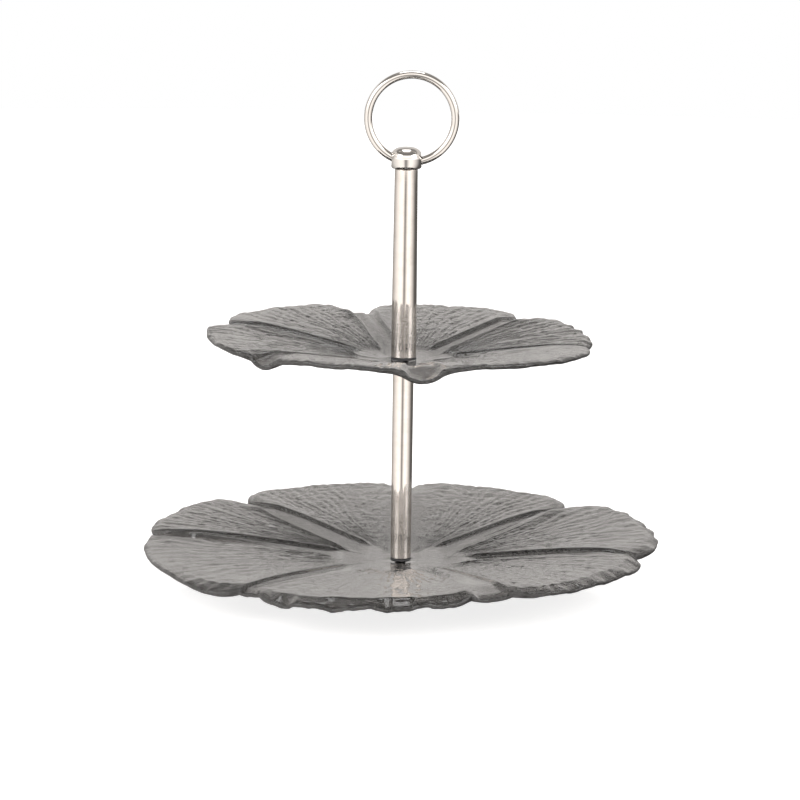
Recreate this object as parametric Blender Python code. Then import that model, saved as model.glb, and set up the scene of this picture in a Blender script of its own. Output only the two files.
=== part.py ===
"""Two-tier cake stand: two pressed-glass flower plates on a nickel post with a ring handle.

Metres, +Z up. The origin lies on the post's axis, in the plane that the foot ring stands on.
The stack is pulled together by threads: the base screw and a double-ended stud hold the two
tubes and plates, and the knob's stem closes the top. The ring swings in the knob's cross hole.
"""

import math
from dataclasses import dataclass

import bmesh
import bpy
from mathutils import Matrix, Vector

MM = 0.001
GAP = 0.3 * MM  # kept between pieces that touch

# Glass plates
FOOT_HEIGHT = 7.5 * MM  # surface to the lower plate's underside
FOOT_INNER = 45.5 * MM
FOOT_OUTER = 50 * MM
FOOT_DRAFT = 1.2 * MM  # how much wider the foot ring is at its root, on each side
GLASS_CENTRE = 4.5 * MM  # thickness round the centre hole
GLASS_RIM = 3.4 * MM
HOLE_RADIUS = 5 * MM
TIER_RISE = 112 * MM  # from the lower plate's centre face to the upper plate's

# Post
LOWER_TUBE_RADIUS = 5.65 * MM
UPPER_TUBE_FOOT_RADIUS = 6.95 * MM
UPPER_TUBE_TOP_RADIUS = 6.2 * MM
UPPER_TUBE_LENGTH = 102.7 * MM
TUBE_WALL = 1 * MM
TUBE_CHAMFER = 0.3 * MM
INSERT_LENGTH = 12 * MM
INSERT_RECESS = 0.6 * MM

# Washers, screw and threads
THREAD_RADIUS = 3 * MM
THREAD_REACH = 11 * MM  # how far each thread runs into its insert
THREAD_HOLE = THREAD_RADIUS + GAP
SEAL_BORE = 3.4 * MM
GASKET_THICKNESS = 1 * MM
FLANGE_THICKNESS = 1 * MM
COLLAR_HEIGHT = 3.4 * MM
LOWER_FLANGE_RADIUS = 9 * MM
UPPER_FLANGE_RADIUS = 7.2 * MM
WASHER_RADIUS = 9.6 * MM
WASHER_THICKNESS = 1 * MM
HEAD_RADIUS = 6 * MM
HEAD_HEIGHT = 2.4 * MM
SLOT_WIDTH = 1.4 * MM
SLOT_DEPTH = 1.1 * MM

# Knob and ring
KNOB_RADIUS = 8.3 * MM
KNOB_HEIGHT = 11.7 * MM
KNOB_SEAT_RADIUS = 6.5 * MM
RING_RADIUS = 23.5 * MM  # to the middle of the wire
WIRE_RADIUS = 2.2 * MM
RING_OFFSET = 2.5 * MM  # the ring hangs this far to +X of the post's axis
WIRE_PLAY = 1.25 * MM  # the wire's lowest point lies this far below the hole's axis
CROSS_HOLE_RADIUS = 3.75 * MM
CROSS_HOLE_HEIGHT = 4.9 * MM  # above the knob's seat

# Heights that follow from the sizes above
LOWER_FACE = FOOT_HEIGHT + GLASS_CENTRE
UPPER_FACE = LOWER_FACE + TIER_RISE
LOWER_TUBE_FOOT = LOWER_FACE + GASKET_THICKNESS + 2 * GAP
LOWER_TUBE_TOP = UPPER_FACE - GLASS_CENTRE - FLANGE_THICKNESS - 2 * GAP
UPPER_TUBE_FOOT = UPPER_FACE + GASKET_THICKNESS + 2 * GAP
UPPER_TUBE_TOP = UPPER_TUBE_FOOT + UPPER_TUBE_LENGTH
KNOB_SEAT = UPPER_TUBE_TOP + GAP
HINGE_HEIGHT = KNOB_SEAT + CROSS_HOLE_HEIGHT

ROUND_SIDES = 32
RING_STEPS = 48
VALLEY_FOOT = 0.75  # a petal's edge starts here, as a share of the valley's half width
VALLEY_TOP = 1.15  # and ends here
LIP_START = 0.93  # share of the way from the level centre to the rim
EDGE_ROUND = 1.2 * MM


@dataclass(frozen=True)
class Petal:
    """One petal, in millimetres and degrees. The valley that it shares lies at its start."""

    start: float  # plan angle of the valley, from +X towards +Y
    reach: float  # from the axis to the middle of the petal's rim
    crest: float  # rise of the rim's middle above the plate's centre face
    tilt: float  # how much higher the rim is at the petal's end than at its start
    lip: float  # how far the margin turns down
    notch: float  # from the axis to the valley's mouth
    gutter: float  # rise of the valley's mouth above the plate's centre face


@dataclass(frozen=True)
class Plate:
    """A flower plate: a level centre, raised petals and smooth valleys between them."""

    petals: tuple
    face: float  # height of the centre face
    level: float  # radius of the level centre
    valley: float  # half width of a valley
    mouth: float  # half width of a valley where it meets the rim
    step: float  # height of a petal's edge above the valley
    has_foot: bool


LOWER_PLATE = Plate(
    petals=(
        Petal(start=42.5, reach=139.5, crest=16.3, tilt=2, lip=4.0, notch=131, gutter=8.5),
        Petal(start=88, reach=139.5, crest=16.0, tilt=-1.5, lip=4.0, notch=129, gutter=11.0),
        Petal(start=134, reach=140.0, crest=13.4, tilt=-4, lip=4.0, notch=130, gutter=7.0),
        Petal(start=173, reach=141.0, crest=10.5, tilt=-3, lip=5.5, notch=135, gutter=6.5),
        Petal(start=234, reach=140.5, crest=11.5, tilt=5, lip=6.5, notch=131, gutter=5.5),
        Petal(start=289, reach=140.0, crest=14.0, tilt=0, lip=5.5, notch=131, gutter=8.5),
        Petal(start=345, reach=141.5, crest=16.5, tilt=4, lip=5.5, notch=132, gutter=8.5),
    ),
    face=LOWER_FACE,
    level=30 * MM,
    valley=7.5 * MM,
    mouth=2.2 * MM,
    step=2.2 * MM,
    has_foot=True,
)
UPPER_PLATE = Plate(
    petals=(
        Petal(start=45, reach=104.5, crest=16.0, tilt=0, lip=2.5, notch=97, gutter=8.0),
        Petal(start=107, reach=104.0, crest=17.5, tilt=0, lip=2.5, notch=95, gutter=9.0),
        Petal(start=168, reach=107.0, crest=18.0, tilt=2, lip=2.0, notch=99, gutter=12.0),
        Petal(start=218.5, reach=103.5, crest=14.2, tilt=0, lip=2.0, notch=99, gutter=8.0),
        Petal(start=278, reach=103.5, crest=12.7, tilt=-4, lip=2.0, notch=101, gutter=7.0),
        Petal(start=357, reach=104.5, crest=13.0, tilt=7, lip=2.5, notch=99, gutter=7.0),
    ),
    face=UPPER_FACE,
    level=22 * MM,
    valley=5.5 * MM,
    mouth=1.8 * MM,
    step=2.2 * MM,
    has_foot=False,
)
PETAL_COLUMNS = (0, 0.05, 0.15, 0.35, 0.65, 0.85, 0.95, 1)  # across a petal, edge to edge
CORNER_POWER = 6  # the higher it is, the squarer a petal's outer corners
TOP_SHARES = (0.06, 0.13, 0.24, 0.38, 0.54, 0.7, 0.84, 0.93, 0.97, 1)
UNDER_SHARES = (0.95, 0.84, 0.68, 0.5, 0.34)


def clear_scene():
    for thing in list(bpy.data.objects):
        bpy.data.objects.remove(thing, do_unlink=True)


def finish_material(name, colour, roughness, metallic, transmission=0.0):
    material = bpy.data.materials.new(name)
    material.use_nodes = True
    shader = material.node_tree.nodes["Principled BSDF"]
    shader.inputs["Base Color"].default_value = (*colour, 1)
    shader.inputs["Roughness"].default_value = roughness
    shader.inputs["Metallic"].default_value = metallic
    shader.inputs["Transmission Weight"].default_value = transmission
    return material


def add_object(name, shape, material, place=(0, 0, 0)):
    """Make an object of a bmesh whose faces point outwards, shaded smooth except at its corners."""
    bmesh.ops.recalc_face_normals(shape, faces=shape.faces)
    mesh = bpy.data.meshes.new(name)
    shape.to_mesh(mesh)
    shape.free()
    mesh.shade_smooth()
    mesh.set_sharp_from_angle(angle=math.radians(40))
    mesh.materials.append(material)
    thing = bpy.data.objects.new(name, mesh)
    thing.location = place
    bpy.context.scene.collection.objects.link(thing)
    return thing


def turned(name, outline, material):
    """Turn a closed outline of (radius, height) points about the Z axis."""
    shape = bmesh.new()
    corners = [shape.verts.new((radius, 0, height)) for radius, height in outline]
    edges = [shape.edges.new((a, b)) for a, b in zip(corners, corners[1:] + corners[:1])
             if a.co.x or b.co.x]
    bmesh.ops.spin(shape, geom=corners + edges, cent=(0, 0, 0), axis=(0, 0, 1),
                   angle=math.tau, steps=ROUND_SIDES, use_duplicate=False)
    bmesh.ops.remove_doubles(shape, verts=shape.verts, dist=0.001 * MM)
    return add_object(name, shape, material)


def ring_outline(inner, outer, low, high):
    return [(inner, low), (outer, low), (outer, high), (inner, high)]


def cut(thing, cutter, name):
    """Take a cutter away from an object and keep it as a hidden guide."""
    cutter.hide_render = True
    cutter.display_type = "WIRE"
    modifier = thing.modifiers.new(name, "BOOLEAN")
    modifier.operation = "DIFFERENCE"
    modifier.solver = "EXACT"
    modifier.object = cutter


def smooth(low, high, value):
    share = min(max((value - low) / (high - low), 0), 1)
    return share * share * (3 - 2 * share)


def mix(a, b, share):
    return a + (b - a) * share


class PlateShape:
    """Works out the surface of a flower plate, column by column round it."""

    def __init__(self, plate):
        self.plate = plate
        self.columns = [
            (index, side, place)
            for index in range(len(plate.petals))
            for side, place in self.column_places()
        ]

    @staticmethod
    def column_places():
        """Columns of one petal, from its own valley to the next one's."""
        across = [("across", place) for place in PETAL_COLUMNS]
        return [("start", 0), ("start", VALLEY_FOOT), *across, ("end", VALLEY_FOOT)]

    def pair(self, index):
        petals = self.plate.petals
        return petals[index], petals[(index + 1) % len(petals)]

    def bow(self, column):
        """1 in the middle of a petal and 0 at its edges and in the valleys."""
        _, side, place = column
        return 1 - abs(2 * place - 1) ** CORNER_POWER if side == "across" else 0

    def rim_radius(self, column):
        petal, following = self.pair(column[0])
        notch = mix(petal.notch, following.notch, self.share(column)) * MM
        return mix(notch, petal.reach * MM, self.bow(column))

    @staticmethod
    def share(column):
        _, side, place = column
        return {"start": 0, "end": 1}.get(side, place)

    def along(self, column, radius):
        """Share of the way from the level centre, 0, to the rim, 1."""
        level = self.plate.level
        return max(radius - level, 0) / (self.rim_radius(column) - level)

    def angle(self, column, radius):
        index, side, place = column
        petal, following = self.pair(index)
        width = math.radians((following.start - petal.start) % 360)
        along = self.along(column, radius)
        half = mix(self.plate.valley, self.plate.mouth, smooth(0.55, 1, along))
        valley = half / max(radius, self.plate.level)
        if side == "start":
            turn = place * valley
        elif side == "end":
            turn = width - place * valley
        else:
            turn = mix(VALLEY_TOP * valley, width - VALLEY_TOP * valley, place)
        return math.radians(petal.start) + turn

    def swell(self, column, along):
        """Height of the plate without its petals' edges, above the centre face."""
        petal, following = self.pair(column[0])
        gutter = mix(petal.gutter, following.gutter, self.share(column)) * MM
        rim = (petal.crest + petal.tilt * (self.share(column) - 0.5)) * MM
        crown = (rim - gutter) * along**1.4 * self.bow(column)
        turned_down = smooth(LIP_START, 1.07, along) * (0.4 + 0.6 * self.bow(column))
        return gutter * (1 - (1 - along) ** 1.8) + crown - petal.lip * MM * turned_down

    def top(self, column, along):
        edge = self.plate.step * smooth(0, 0.13, along) if column[1] == "across" else 0
        edge *= 1 - along**1.4 * self.bow(column)
        return self.plate.face + self.swell(column, along) + edge

    def under(self, column, along):
        thickness = mix(GLASS_CENTRE, GLASS_RIM, smooth(0, 0.8, along))
        return self.plate.face + self.swell(column, along) - thickness

    def point(self, column, radius, height):
        angle = self.angle(column, radius)
        return Vector((radius * math.cos(angle), radius * math.sin(angle), height))

    def section(self, column):
        """Closed run of points down one column: over the top, round the rim and back underneath."""
        face, level = self.plate.face, self.plate.level
        rim = self.rim_radius(column)
        inner_rim = rim - EDGE_ROUND
        run = [self.point(column, radius, face) for radius in (HOLE_RADIUS, 0.6 * level, level)]
        for share in TOP_SHARES:
            radius = mix(level, inner_rim, share)
            run.append(self.point(column, radius, self.top(column, share)))
        low, high = self.under(column, 1), self.top(column, 1)
        run.append(self.point(column, rim, mix(low, high, 0.7)))
        run.append(self.point(column, rim, mix(low, high, 0.3)))
        run.append(self.point(column, inner_rim, low))
        for share in UNDER_SHARES:
            radius = mix(level, inner_rim, share)
            run.append(self.point(column, radius, self.under(column, share)))
        run += self.foot(column) if self.plate.has_foot else []
        run.append(self.point(column, level, self.under(column, 0)))
        run.append(self.point(column, HOLE_RADIUS, self.under(column, 0)))
        return run

    def foot(self, column):
        """The foot ring's section, from its outer root round its flat base to its inner root."""
        outer_root, inner_root = FOOT_OUTER + FOOT_DRAFT, FOOT_INNER - FOOT_DRAFT
        roots = [self.under(column, self.along(column, r)) for r in (outer_root, inner_root)]
        return [
            self.point(column, outer_root, roots[0]),
            self.point(column, FOOT_OUTER, 0),
            self.point(column, FOOT_INNER, 0),
            self.point(column, inner_root, roots[1]),
        ]

    def build(self, name, material):
        shape = bmesh.new()
        runs = [[shape.verts.new(p) for p in self.section(column)] for column in self.columns]
        for run, beside in zip(runs, runs[1:] + runs[:1]):
            for row in range(len(run)):
                shape.faces.new((run[row - 1], run[row], beside[row], beside[row - 1]))
        return add_object(name, shape, material)


def tube(name, foot, top, foot_radius, top_radius, material):
    """A tube whose ends are chamfered outside and open."""
    inset = TUBE_CHAMFER
    return turned(name, [
        (foot_radius - TUBE_WALL, foot),
        (foot_radius - inset, foot),
        (foot_radius, foot + inset),
        (top_radius, top - inset),
        (top_radius - inset, top),
        (top_radius - TUBE_WALL, top),
    ], material)


def insert(name, low, tube_radius, material):
    """A threaded bush inside a tube's end."""
    outer = tube_radius - TUBE_WALL - GAP
    return turned(name, ring_outline(THREAD_HOLE, outer, low, low + INSERT_LENGTH), material)


def gasket(name, face, radius, material):
    """The washer that lies on a plate's centre face, under a tube."""
    low = face + GAP
    return turned(name, ring_outline(SEAL_BORE, radius, low, low + GASKET_THICKNESS), material)


def grommet(name, underside, radius, material):
    """The washer under a plate, with a collar that lines the plate's hole."""
    flange_top = underside - GAP
    collar = HOLE_RADIUS - GAP
    return turned(name, [
        (SEAL_BORE, flange_top - FLANGE_THICKNESS),
        (radius, flange_top - FLANGE_THICKNESS),
        (radius, flange_top),
        (collar, flange_top),
        (collar, flange_top + COLLAR_HEIGHT),
        (SEAL_BORE, flange_top + COLLAR_HEIGHT),
    ], material)


def threaded_end(tip, shoulder):
    """Outline of a thread's body from its bevelled tip on the axis to its shoulder."""
    bevel = math.copysign(0.8 * MM, shoulder - tip)
    return [(0, tip), (THREAD_RADIUS - abs(bevel), tip), (THREAD_RADIUS, tip + bevel),
            (THREAD_RADIUS, shoulder)]


def middle_stud(material):
    middle = (LOWER_TUBE_TOP + UPPER_TUBE_FOOT) / 2
    low = threaded_end(LOWER_TUBE_TOP - THREAD_REACH, middle)
    high = threaded_end(UPPER_TUBE_FOOT + THREAD_REACH, middle)
    return turned("middle_stud", low[:-1] + high[-2::-1], material)


def base_washer(material):
    top = FOOT_HEIGHT - FLANGE_THICKNESS - 2 * GAP
    outline = ring_outline(SEAL_BORE, WASHER_RADIUS, top - WASHER_THICKNESS, top)
    return turned("base_washer", outline, material)


def base_screw(material):
    """A pan-head screw, head down, with a straight driver slot."""
    seat = FOOT_HEIGHT - FLANGE_THICKNESS - WASHER_THICKNESS - 3 * GAP
    crown = seat - HEAD_HEIGHT
    shank = threaded_end(LOWER_TUBE_FOOT + THREAD_REACH, seat)
    turns = [math.radians(angle) for angle in (0, 30, 60)]
    head = [(HEAD_RADIUS * (0.62 + 0.38 * math.cos(a)), seat - HEAD_HEIGHT * (0.3 + 0.7 * math.sin(a)))
            for a in turns]
    screw = turned("base_screw", [*shank, (HEAD_RADIUS, seat), *head,
                                  (0.5 * HEAD_RADIUS, crown), (0, crown)], material)
    shape = bmesh.new()
    bmesh.ops.create_cube(shape, size=1)
    size = Matrix.Diagonal((3 * HEAD_RADIUS, SLOT_WIDTH, 2 * SLOT_DEPTH, 1))
    bmesh.ops.transform(shape, matrix=size, verts=shape.verts)
    slot = add_object("driver_slot_cutter", shape, material, (0, 0, crown))
    cut(screw, slot, "driver_slot")
    return screw


def knob(material):
    """A flattened ball on a threaded stem, with a cross hole along X for the ring."""
    widest = CROSS_HOLE_HEIGHT
    start = math.acos(KNOB_SEAT_RADIUS / KNOB_RADIUS)
    low_half = widest / math.sin(start)
    outline = threaded_end(KNOB_SEAT - GAP - THREAD_REACH, KNOB_SEAT)
    for step in range(5):
        turn = start * (1 - step / 4)
        outline.append((KNOB_RADIUS * math.cos(turn), KNOB_SEAT + widest - low_half * math.sin(turn)))
    for step in range(1, 9):
        turn = step / 8 * math.pi / 2
        rise = (KNOB_HEIGHT - widest) * math.sin(turn)
        outline.append((KNOB_RADIUS * math.cos(turn) ** 0.8 if step < 8 else 0,
                        KNOB_SEAT + widest + rise))
    body = turned("knob", outline, material)
    shape = bmesh.new()
    bmesh.ops.create_cone(shape, cap_ends=True, segments=32, radius1=CROSS_HOLE_RADIUS,
                          radius2=CROSS_HOLE_RADIUS, depth=4 * KNOB_RADIUS)
    bmesh.ops.rotate(shape, matrix=Matrix.Rotation(math.pi / 2, 3, "Y"), verts=shape.verts)
    cutter = add_object("cross_hole_cutter", shape, material, (0, 0, HINGE_HEIGHT))
    cut(body, cutter, "cross_hole")
    return body


def ring_handle(material):
    """A closed wire ring in the XZ plane. Its origin is on the axis that it swings about."""
    shape = bmesh.new()
    circle = bmesh.ops.create_circle(shape, segments=12, radius=WIRE_RADIUS)["verts"]
    bmesh.ops.translate(shape, verts=circle, vec=(RING_RADIUS, 0, 0))
    bmesh.ops.spin(shape, geom=circle + shape.edges[:], cent=(0, 0, 0), axis=(0, 1, 0),
                   angle=math.tau, steps=RING_STEPS, use_duplicate=False)
    bmesh.ops.remove_doubles(shape, verts=shape.verts, dist=0.001 * MM)
    centre = (RING_OFFSET, 0, RING_RADIUS - WIRE_PLAY)
    bmesh.ops.translate(shape, verts=shape.verts, vec=centre)
    return add_object("ring_handle", shape, material, (0, 0, HINGE_HEIGHT))


def build_plates():
    glass = finish_material("smoke_glass", (0.2, 0.195, 0.19), 0.12, 0, 0.8)
    PlateShape(LOWER_PLATE).build("lower_plate", glass)
    PlateShape(UPPER_PLATE).build("upper_plate", glass)


def build_post():
    nickel = finish_material("polished_nickel", (0.76, 0.71, 0.67), 0.12, 1)
    steel = finish_material("zinc_steel", (0.58, 0.59, 0.6), 0.35, 1)
    tube("lower_tube", LOWER_TUBE_FOOT, LOWER_TUBE_TOP, LOWER_TUBE_RADIUS, LOWER_TUBE_RADIUS, nickel)
    tube("upper_tube", UPPER_TUBE_FOOT, UPPER_TUBE_TOP, UPPER_TUBE_FOOT_RADIUS,
         UPPER_TUBE_TOP_RADIUS, nickel)
    from_top = INSERT_LENGTH + INSERT_RECESS
    insert("lower_tube_bottom_insert", LOWER_TUBE_FOOT + INSERT_RECESS, LOWER_TUBE_RADIUS, steel)
    insert("lower_tube_top_insert", LOWER_TUBE_TOP - from_top, LOWER_TUBE_RADIUS, steel)
    insert("upper_tube_bottom_insert", UPPER_TUBE_FOOT + INSERT_RECESS,
           UPPER_TUBE_FOOT_RADIUS - 0.15 * MM, steel)
    insert("upper_tube_top_insert", UPPER_TUBE_TOP - from_top, UPPER_TUBE_TOP_RADIUS, steel)
    middle_stud(steel)


def build_seals_and_screw():
    rubber = finish_material("black_rubber", (0.03, 0.03, 0.032), 0.7, 0)
    zinc = finish_material("zinc_plate", (0.6, 0.6, 0.6), 0.3, 1)
    gasket("lower_plate_gasket", LOWER_FACE, LOWER_TUBE_RADIUS, rubber)
    gasket("upper_plate_gasket", UPPER_FACE, UPPER_TUBE_FOOT_RADIUS, rubber)
    grommet("lower_plate_grommet", FOOT_HEIGHT, LOWER_FLANGE_RADIUS, rubber)
    grommet("upper_plate_grommet", UPPER_FACE - GLASS_CENTRE, UPPER_FLANGE_RADIUS, rubber)
    base_washer(zinc)
    base_screw(zinc)


def build_handle():
    nickel = finish_material("bright_nickel", (0.78, 0.74, 0.7), 0.1, 1)
    knob(nickel)
    ring_handle(nickel)


def main():
    clear_scene()
    build_plates()
    build_post()
    build_seals_and_screw()
    build_handle()


main()
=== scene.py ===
"""Tiered cake stand: the finished look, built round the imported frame.

Two flower plates of pressed smoke-grey glass hang on a nickel post, and a ring handle swings in
the knob on top. Sizes are in metres and places come from the frame's own boxes. Each sub-assembly
is a class that builds its pieces, and each finish is a small frozen dataclass.
"""

import logging
import math
from collections.abc import Sequence
from dataclasses import dataclass, field, fields
from enum import Enum
from typing import Any, Union

import bmesh
import bpy
import numpy as np
from mathutils import Matrix, Vector


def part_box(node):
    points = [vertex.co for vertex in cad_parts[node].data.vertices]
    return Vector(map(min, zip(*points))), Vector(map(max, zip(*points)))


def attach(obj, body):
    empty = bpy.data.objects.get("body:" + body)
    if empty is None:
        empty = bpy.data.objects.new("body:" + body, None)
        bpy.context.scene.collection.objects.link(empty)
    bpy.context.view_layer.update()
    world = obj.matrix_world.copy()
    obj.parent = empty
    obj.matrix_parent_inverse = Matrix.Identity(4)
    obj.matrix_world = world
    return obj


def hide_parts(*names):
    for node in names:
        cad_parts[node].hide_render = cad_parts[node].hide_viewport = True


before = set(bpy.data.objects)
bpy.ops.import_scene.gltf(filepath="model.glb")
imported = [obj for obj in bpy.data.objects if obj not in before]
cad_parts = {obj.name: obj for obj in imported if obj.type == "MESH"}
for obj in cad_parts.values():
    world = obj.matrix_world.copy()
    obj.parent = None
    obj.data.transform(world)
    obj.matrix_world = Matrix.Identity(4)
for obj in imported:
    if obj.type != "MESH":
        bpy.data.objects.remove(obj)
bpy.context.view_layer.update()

MM = 0.001
GAP = 0.3 * MM  # kept between pieces that touch
STAND, RING = "stand", "ring"

Socket = bpy.types.NodeSocket
Value = Union[float, tuple, Socket]
Outline = Sequence[tuple[float, float]]

log = logging.getLogger("cake_stand")


class Slot(Enum):
    """The record's material slots, one for each finish of the stand."""

    GLASS = "smoke_glass"
    POST = "post_nickel"
    HANDLE = "handle_nickel"
    INSERT = "insert_steel"
    ZINC = "zinc_plate"
    RUBBER = "seal_rubber"


class Graph:
    """Adds and links nodes in one node tree, of a material, a world or a modifier."""

    def __init__(self, tree: bpy.types.NodeTree) -> None:
        """Start on an empty tree.

        Args:
            tree: the tree, whose nodes are all removed first.
        """
        self.tree = tree
        tree.nodes.clear()

    def put(self, socket: Socket, value: Value) -> None:
        """Link a socket to another one, or set its own value.

        Args:
            socket: the input to fill.
            value: an output socket, a number or a tuple.
        """
        if isinstance(value, bpy.types.NodeSocket):
            self.tree.links.new(value, socket)
        else:
            socket.default_value = value

    def add(self, kind: str, inputs: dict[Union[str, int], Value], **settings: Any) -> bpy.types.Node:
        """Add a node.

        Args:
            kind: Blender's name of the node's type.
            inputs: values by input name or position.
            settings: the node's own properties.

        Returns:
            The new node.
        """
        node = self.tree.nodes.new(kind)
        for name, setting in settings.items():
            setattr(node, name, setting)
        for name, value in inputs.items():
            self.put(node.inputs[name], value)
        return node

    def math(self, operation: str, *values: Value) -> Socket:
        """Do sums on numbers.

        Args:
            operation: the math node's operation.
            values: its inputs, in order.

        Returns:
            The result's socket.
        """
        return self.add("ShaderNodeMath", dict(enumerate(values)), operation=operation).outputs[0]

    def chain(self, operation: str, values: Sequence[Value]) -> Socket:
        """Work through several numbers with one operation, in order.

        Args:
            operation: the math node's operation.
            values: two or more numbers or sockets.

        Returns:
            The last result's socket.
        """
        result = values[0]
        for value in values[1:]:
            result = self.math(operation, result, value)
        return result

    def total(self, *values: Value) -> Socket:
        """Add two or more numbers."""
        return self.chain("ADD", values)

    def times(self, *values: Value) -> Socket:
        """Multiply two or more numbers."""
        return self.chain("MULTIPLY", values)

    def vector(self, x: Value, y: Value, z: Value) -> Socket:
        """Join three numbers to one vector.

        Args:
            x: its first number.
            y: its second number.
            z: its third number.

        Returns:
            The vector's socket.
        """
        return self.add("ShaderNodeCombineXYZ", {0: x, 1: y, 2: z}).outputs[0]

    def noise(self, place: Socket, scale: float, detail: float = 2.0, rough: float = 0.5) -> Socket:
        """Sample a smooth random field.

        Args:
            place: where it is sampled.
            scale: how many features fit in one unit.
            detail: octaves of finer noise.
            rough: how strong the finer octaves are.

        Returns:
            A socket from about 0 to 1.
        """
        inputs = {"Vector": place, "Scale": scale, "Detail": detail, "Roughness": rough}
        return self.add("ShaderNodeTexNoise", inputs).outputs[0]

    def spread(self, value: Value, low: float, high: float, to_low: float, to_high: float) -> Socket:
        """Map a range of numbers to another, held at its ends.

        Args:
            value: the number to map.
            low: start of its range.
            high: end of its range.
            to_low: result at the start.
            to_high: result at the end.

        Returns:
            The mapped number's socket.
        """
        node = self.add("ShaderNodeMapRange", {0: value, 1: low, 2: high, 3: to_low, 4: to_high})
        return node.outputs[0]

    def blend(self, share: Value, first: Value, second: Value) -> Socket:
        """Mix two colours.

        Args:
            share: 0 for the first colour and 1 for the second.
            first: a colour of four numbers, or its socket.
            second: the other colour.

        Returns:
            The mixed colour's socket.
        """
        node = self.add("ShaderNodeMix", {}, data_type="RGBA")
        for index, value in ((0, share), (6, first), (7, second)):
            self.put(node.inputs[index], value)
        return node.outputs[2]


def rgba(colour: Sequence[float]) -> tuple:
    """Give a colour its fourth number."""
    return (*colour, 1.0)


@dataclass(frozen=True)
class Finish:
    """A surface finish: the sizes and colours behind one material."""

    name: str
    slot: Slot

    def material(self) -> bpy.types.Material:
        """Return the finish's material, which is made the first time that it is asked for."""
        made = bpy.data.materials.get(self.name)
        if made is None:
            made = bpy.data.materials.new(self.name)
            made.use_nodes = True
            graph = Graph(made.node_tree)
            shader = graph.add("ShaderNodeBsdfPrincipled", {})
            output = graph.add("ShaderNodeOutputMaterial", {"Surface": shader.outputs[0]})
            place = graph.add("ShaderNodeTexCoord", {}).outputs["Object"]
            self.dress(graph, shader, output, place)
        return made

    def dress(self, graph: Graph, shader: bpy.types.Node, output: bpy.types.Node, place: Socket) -> None:
        """Fill in the material's nodes. Each kind of finish has its own.

        Args:
            graph: the material's graph.
            shader: its Principled node.
            output: its output node.
            place: object coordinates.
        """
        raise NotImplementedError

    @staticmethod
    def bump(graph: Graph, shader: bpy.types.Node, height: Socket, distance: float, strength: float) -> None:
        """Give the surface a fine relief.

        Args:
            graph: the material's graph.
            shader: its Principled node.
            height: relief from 0 to 1.
            distance: depth of the full relief, in metres.
            strength: how much of it shows.
        """
        inputs = {"Height": height, "Distance": distance, "Strength": strength, "Filter Width": 0.3}
        graph.put(shader.inputs["Normal"], graph.add("ShaderNodeBump", inputs).outputs[0])


@dataclass(frozen=True)
class SmokeGlass(Finish):
    """Pressed glass, clear inside and slightly uneven on its fire-polished surface."""

    tint: tuple = (0.9, 0.88, 0.86)
    centre_tint: tuple = (0.46, 0.43, 0.415)  # painted shade: the centre's colour is darkened, standing in for the twice as thick glass there
    rim_tint: tuple = (0.12, 0.11, 0.105)  # painted shade: the rim's colour is darkened, standing in for the glass's dark look seen edge on
    smoke: tuple = (0.56, 0.54, 0.52)
    density: float = 1700.0
    index: float = 1.47
    transmission: float = 0.97
    lustre: float = 1.0
    lustre_index: float = 1.42
    wrinkle: float = 1.1 * MM
    bark: float = 0.55  # depth of the short creases, against the wrinkles' own
    petal_start: float = 20 * MM
    haze_scale: float = 60.0  # cloudy tones, in features per metre like the next two
    hammer_scale: float = 420.0
    crease_scale: float = 210.0
    crease_edge: float = 0.075  # how far a crease's soft edge reaches in its noise
    rim_start: float = 0.982  # share of the way out where the rim's painted shade starts
    tint_shade: float = 0.86  # the tint's darker clouds, against the tint

    def dress(self, graph: Graph, shader: bpy.types.Node, output: bpy.types.Node, place: Socket) -> None:
        """Fill in clear glass over a smoky body, wrinkled round the petals and fire-polished, with painted
        shade at centre and rim.

        Args:
            graph: the material's graph.
            shader: its Principled node.
            output: its output node.
            place: object coordinates.
        """
        shader.inputs["Transmission Weight"].default_value = self.transmission
        shader.inputs["IOR"].default_value = self.index
        shader.inputs["Coat Weight"].default_value = self.lustre
        shader.inputs["Coat Roughness"].default_value = 0.03
        shader.inputs["Coat IOR"].default_value = self.lustre_index
        haze = graph.noise(place, self.haze_scale, 3.0)
        light, dark = rgba(self.tint), rgba([part * self.tint_shade for part in self.tint])
        graph.put(shader.inputs["Roughness"], graph.spread(haze, 0.3, 0.7, 0.02, 0.06))
        apart = graph.add("ShaderNodeSeparateXYZ", {0: place})
        flat = graph.vector(apart.outputs[0], apart.outputs[1], 0.0)
        radius = graph.add("ShaderNodeVectorMath", {0: flat}, operation="LENGTH").outputs["Value"]
        out = graph.add("ShaderNodeAttribute", {}, attribute_name="along").outputs["Fac"]
        # Painted shade: the colour goes near black over the rim, by the share of the way out.
        rim = graph.spread(out, self.rim_start, 1.0, 0.0, 1.0)
        # Painted shade: the colour darkens towards the centre and fades out where the petals start.
        petals = graph.spread(radius, 0.6 * self.petal_start, 2.2 * self.petal_start, 0.0, 1.0)
        body = graph.blend(petals, rgba(self.centre_tint), graph.blend(haze, light, dark))
        # Base colour: the painted centre and rim shade over the hazy tint.
        graph.put(shader.inputs["Base Color"], graph.blend(rim, body, rgba(self.rim_tint)))
        hammered = graph.noise(place, self.hammer_scale, 5.0, 0.7)
        creases = graph.noise(place, self.crease_scale, 4.0, 0.65)
        away = graph.math("ABSOLUTE", graph.math("SUBTRACT", creases, 0.5))
        bark = graph.spread(away, 0.0, self.crease_edge, 0.0, self.bark)
        fade = graph.spread(radius, self.petal_start, 2.2 * self.petal_start, 0.5, 1.0)
        self.bump(graph, shader, graph.times(graph.total(hammered, bark), fade), self.wrinkle, 1.0)
        inputs = {"Color": rgba(self.smoke), "Density": self.density}
        graph.put(output.inputs["Volume"], graph.add("ShaderNodeVolumeAbsorption", inputs).outputs[0])


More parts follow.
